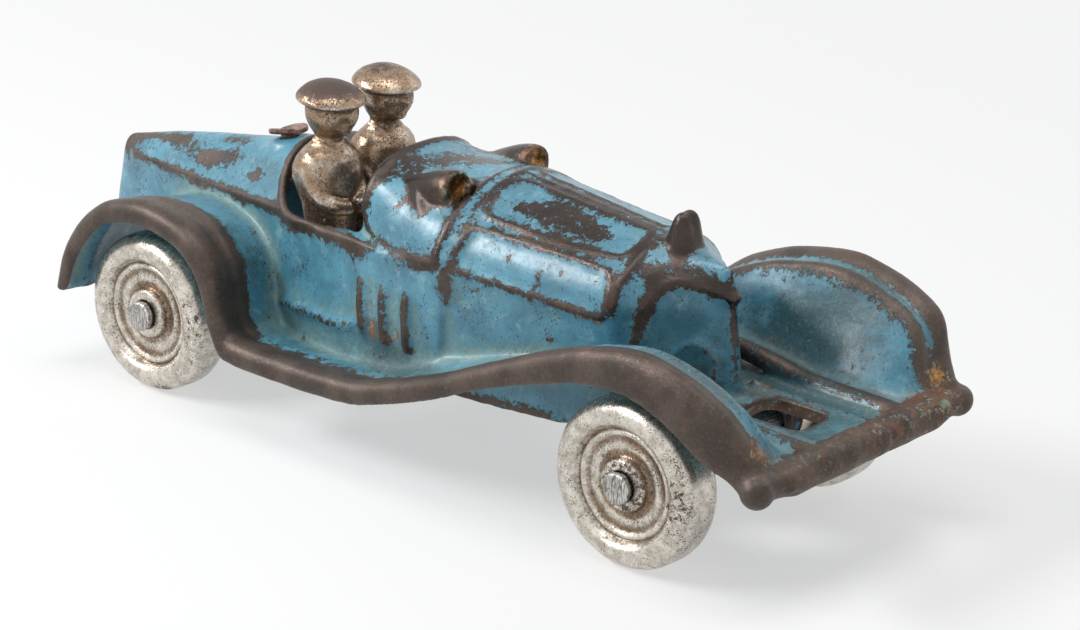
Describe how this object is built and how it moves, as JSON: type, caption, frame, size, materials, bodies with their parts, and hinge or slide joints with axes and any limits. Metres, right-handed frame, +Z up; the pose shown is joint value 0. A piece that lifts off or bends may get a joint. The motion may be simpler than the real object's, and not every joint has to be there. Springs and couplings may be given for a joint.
{
  "type": "toy roadster",
  "caption": "Cast iron toy roadster with sweeping wings, seated riders, riveted tail and free-rolling disc wheels on steel axles.",
  "frame": {"origin": "centre of the bounding box's footprint, on the plane the tyres stand on", "axes": "+Z up, +Y from the bumper towards the tail along the toy's length, +X towards the toy's left side; the toy drives towards -Y"},
  "size_m": [0.062, 0.1779, 0.0599],
  "materials": {
    "painted_iron": "worn blue paint over rough grey-brown cast iron",
    "nickel_plate": "old nickel plate, speckled and partly worn to brown",
    "bare_iron": "bare browned iron",
    "axle_steel": "plain rod with sheared, hammered ends"
  },
  "bodies": {
    "car": {"body_casting": "painted_iron", "driver_and_passenger": "nickel_plate", "deck_rivet": "bare_iron"},
    "front_axle": {"front_axle": "axle_steel"},
    "rear_axle": {"rear_axle": "axle_steel"},
    "front_left_wheel": {"front_left_wheel": "nickel_plate"},
    "front_right_wheel": {"front_right_wheel": "nickel_plate"},
    "rear_left_wheel": {"rear_left_wheel": "nickel_plate"},
    "rear_right_wheel": {"rear_right_wheel": "nickel_plate"}
  },
  "joints": [
    {"name": "front_axle_turn", "type": "hinge", "parent": "car", "child": "front_axle", "pos_m": [0, -0.0587, 0.0145], "axis": [1, 0, 0], "continuous": true},
    {"name": "rear_axle_turn", "type": "hinge", "parent": "car", "child": "rear_axle", "pos_m": [0, 0.0526, 0.0145], "axis": [1, 0, 0], "continuous": true},
    {"name": "front_left_wheel_turn", "type": "hinge", "parent": "front_axle", "child": "front_left_wheel", "pos_m": [0.0235, -0.0587, 0.0145], "axis": [1, 0, 0], "continuous": true},
    {"name": "front_right_wheel_turn", "type": "hinge", "parent": "front_axle", "child": "front_right_wheel", "pos_m": [-0.0235, -0.0587, 0.0145], "axis": [1, 0, 0], "continuous": true},
    {"name": "rear_left_wheel_turn", "type": "hinge", "parent": "rear_axle", "child": "rear_left_wheel", "pos_m": [0.0235, 0.0526, 0.0145], "axis": [1, 0, 0], "continuous": true},
    {"name": "rear_right_wheel_turn", "type": "hinge", "parent": "rear_axle", "child": "rear_right_wheel", "pos_m": [-0.0235, 0.0526, 0.0145], "axis": [1, 0, 0], "continuous": true}
  ]
}
